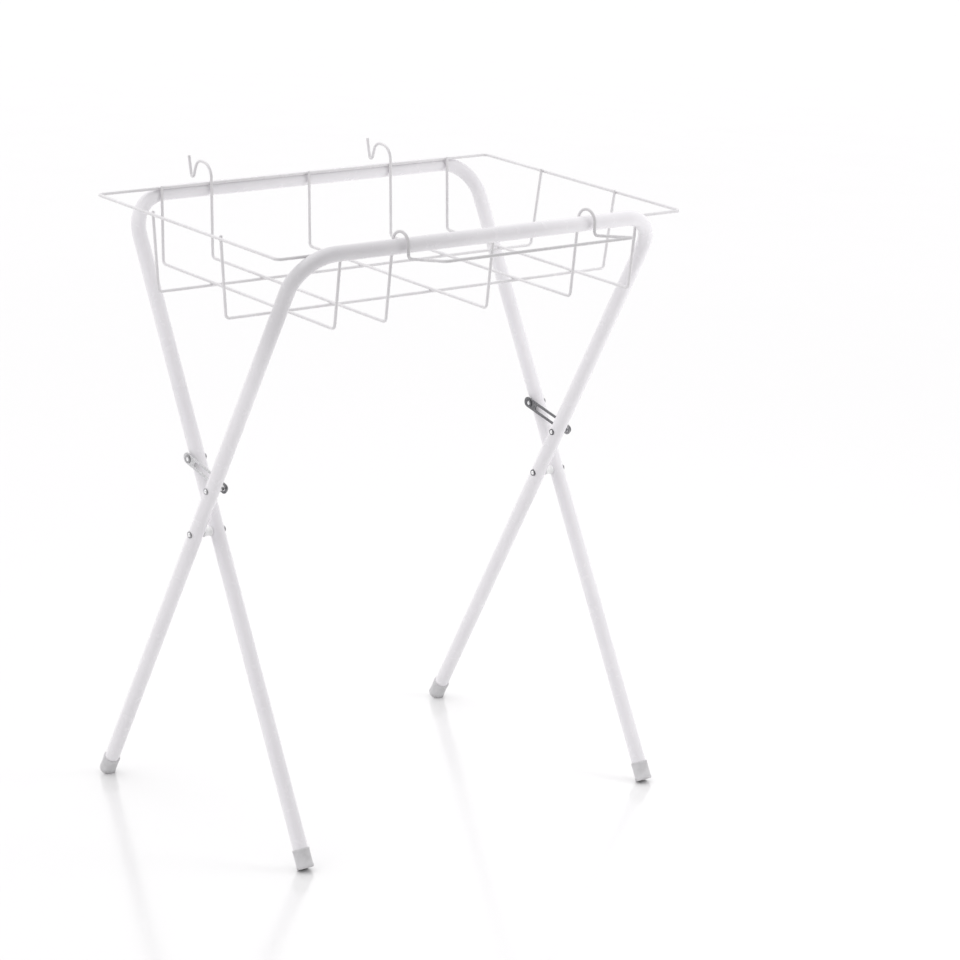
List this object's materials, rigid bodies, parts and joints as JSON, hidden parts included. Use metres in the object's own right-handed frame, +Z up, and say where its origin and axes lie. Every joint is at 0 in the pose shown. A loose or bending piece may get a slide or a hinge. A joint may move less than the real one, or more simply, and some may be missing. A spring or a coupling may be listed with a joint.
{
  "type": "baby bath stand",
  "caption": "Folding stand for a baby bath: two crossed tube frames with slotted stays, a hooked wire basket between the top rails, and a towel bar.",
  "frame": {"origin": "on the floor, under the middle of the whole stand", "axes": "+X along the top rails, +Y from the towel bar to the far rail, +Z up"},
  "size_m": [0.6298, 0.5556, 0.8117],
  "materials": {
    "frame_paint": "gloss white powder coat on steel tube",
    "wire_paint": "gloss white dip coat on steel wire",
    "strap_steel": "dark zinc-plated steel strip",
    "zinc_steel": "zinc-plated steel rivets and washers",
    "foot_plastic": "soft matt light grey plastic",
    "spacer_plastic": "white plastic"
  },
  "bodies": {
    "front_frame": {"front_frame_tube": "frame_paint", "foot_cap_front_left": "foot_plastic", "foot_cap_front_right": "foot_plastic", "pivot_pin_left": "zinc_steel", "pivot_pin_right": "zinc_steel", "pivot_spacer_left": "spacer_plastic", "pivot_spacer_right": "spacer_plastic", "slot_pin_left": "zinc_steel", "slot_pin_right": "zinc_steel"},
    "rear_frame": {"rear_frame_tube": "frame_paint", "foot_cap_rear_left": "foot_plastic", "foot_cap_rear_right": "foot_plastic", "stay_pin_left": "zinc_steel", "stay_pin_right": "zinc_steel", "stay_washer_left": "zinc_steel", "stay_washer_right": "zinc_steel"},
    "stay_left": {"stay_strap_left": "strap_steel"},
    "stay_right": {"stay_strap_right": "strap_steel"},
    "slider_left": {"slot_slider_left": "zinc_steel"},
    "slider_right": {"slot_slider_right": "zinc_steel"},
    "basket": {"rim_wire": "wire_paint", "hook_wire": "wire_paint", "cross_wire_left": "wire_paint", "cross_wire_middle": "wire_paint", "cross_wire_right": "wire_paint", "long_wire_near": "wire_paint", "long_wire_far": "wire_paint"}
  },
  "joints": [
    {"name": "fold", "type": "hinge", "parent": "front_frame", "child": "rear_frame", "pos_m": [0, 0.02253, 0.38492], "axis": [1, 0, 0], "range_deg": [0, 54]},
    {"name": "stay_turn_left", "type": "hinge", "parent": "rear_frame", "child": "stay_left", "pos_m": [-0.276, 0.06786, 0.46841], "axis": [1, 0, 0], "range_deg": [0, 38.23]},
    {"name": "stay_turn_right", "type": "hinge", "parent": "rear_frame", "child": "stay_right", "pos_m": [0.276, 0.06786, 0.46841], "axis": [1, 0, 0], "range_deg": [0, 38.23]},
    {"name": "slot_slide_left", "type": "slide", "parent": "stay_left", "child": "slider_left", "axis": [0, 0.9748, 0.2231], "range_m": [0, 0.0614]},
    {"name": "slot_slide_right", "type": "slide", "parent": "stay_right", "child": "slider_right", "axis": [0, 0.9748, 0.2231], "range_m": [0, 0.0614]},
    {"name": "basket_swing", "type": "hinge", "parent": "front_frame", "child": "basket", "pos_m": [0, -0.18885, 0.77424], "axis": [1, 0, 0], "range_deg": [0, 124]}
  ],
  "couplings": [
    {"joint": "stay_turn_left", "follows": "fold", "ratio": 0.70758},
    {"joint": "stay_turn_right", "follows": "fold", "ratio": 0.70758},
    {"joint": "slot_slide_left", "follows": "fold", "m_per_rad": 0.06501},
    {"joint": "slot_slide_right", "follows": "fold", "m_per_rad": 0.06501},
    {"joint": "basket_swing", "follows": "fold", "ratio": 2.296}
  ]
}
